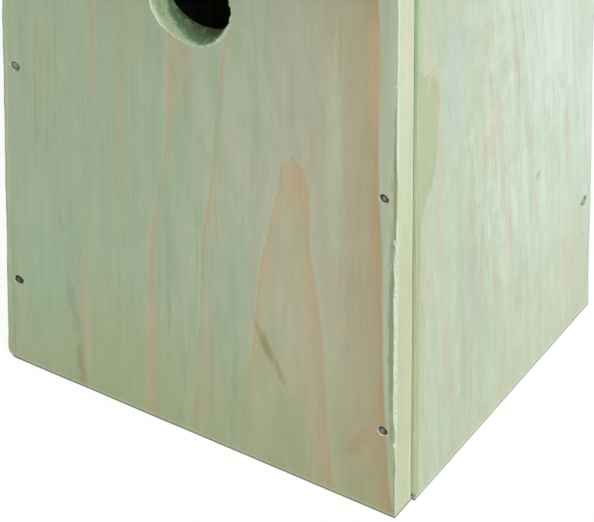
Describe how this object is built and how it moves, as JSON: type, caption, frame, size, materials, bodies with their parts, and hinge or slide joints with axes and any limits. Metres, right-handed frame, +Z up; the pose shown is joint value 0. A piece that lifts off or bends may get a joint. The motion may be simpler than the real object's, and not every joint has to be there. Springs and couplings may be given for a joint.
{
  "type": "bird nest box",
  "caption": "Small wooden nest box with a round entrance hole, a sloping hinged lid held by a hook latch, and a tall back board with a hole to hang it by.",
  "frame": {"origin": "centre of the bounding box at its bottom, on the surface that the box stands on", "axes": "+Z up, -Y out of the entrance hole, +Y out of the back board, +X towards the side with the hook latch"},
  "size_m": [0.18, 0.1496, 0.3441],
  "materials": {
    "treated_pine": "planed, green pressure-treated, bare",
    "treated_pine_pale": "planed, pale green pressure-treated, bare",
    "zinc_plated_steel": "zinc plated, satin",
    "dull_nail_steel": "dull bare steel"
  },
  "bodies": {
    "box": {"front_panel": "treated_pine", "left_side_panel": "treated_pine_pale", "right_side_panel": "treated_pine_pale", "back_panel": "treated_pine", "floor_panel": "treated_pine", "left_hinge_fixed_leaf": "zinc_plated_steel", "left_hinge_pin": "zinc_plated_steel", "left_hinge_fixed_screw_1": "zinc_plated_steel", "left_hinge_fixed_screw_2": "zinc_plated_steel", "right_hinge_fixed_leaf": "zinc_plated_steel", "right_hinge_pin": "zinc_plated_steel", "right_hinge_fixed_screw_1": "zinc_plated_steel", "right_hinge_fixed_screw_2": "zinc_plated_steel", "hook_eye": "zinc_plated_steel", "front_nail_left_1": "dull_nail_steel", "front_nail_left_2": "dull_nail_steel", "front_nail_left_3": "dull_nail_steel", "front_nail_right_1": "dull_nail_steel", "front_nail_right_2": "dull_nail_steel", "front_nail_right_3": "dull_nail_steel", "side_nail_left_1": "dull_nail_steel", "side_nail_left_2": "dull_nail_steel", "side_nail_left_3": "dull_nail_steel", "side_nail_right_1": "dull_nail_steel", "side_nail_right_2": "dull_nail_steel", "side_nail_right_3": "dull_nail_steel", "floor_nail_left": "dull_nail_steel", "floor_nail_right": "dull_nail_steel"},
    "lid": {"roof_lid": "treated_pine_pale", "left_hinge_lid_leaf": "zinc_plated_steel", "left_hinge_lid_screw_1": "zinc_plated_steel", "left_hinge_lid_screw_2": "zinc_plated_steel", "right_hinge_lid_leaf": "zinc_plated_steel", "right_hinge_lid_screw_1": "zinc_plated_steel", "right_hinge_lid_screw_2": "zinc_plated_steel", "catch_eye": "zinc_plated_steel"},
    "hook": {"latch_hook": "zinc_plated_steel"}
  },
  "joints": [
    {"name": "lid_hinge", "type": "hinge", "parent": "box", "child": "lid", "pos_m": [0, 0.06225, 0.29827], "axis": [-1, 0, 0], "range_deg": [0, 108]},
    {"name": "hook_swing", "type": "hinge", "parent": "box", "child": "hook", "pos_m": [0.0834, 0.01984, 0.23388], "axis": [0, -1, 0], "range_deg": [-10, 180]}
  ]
}
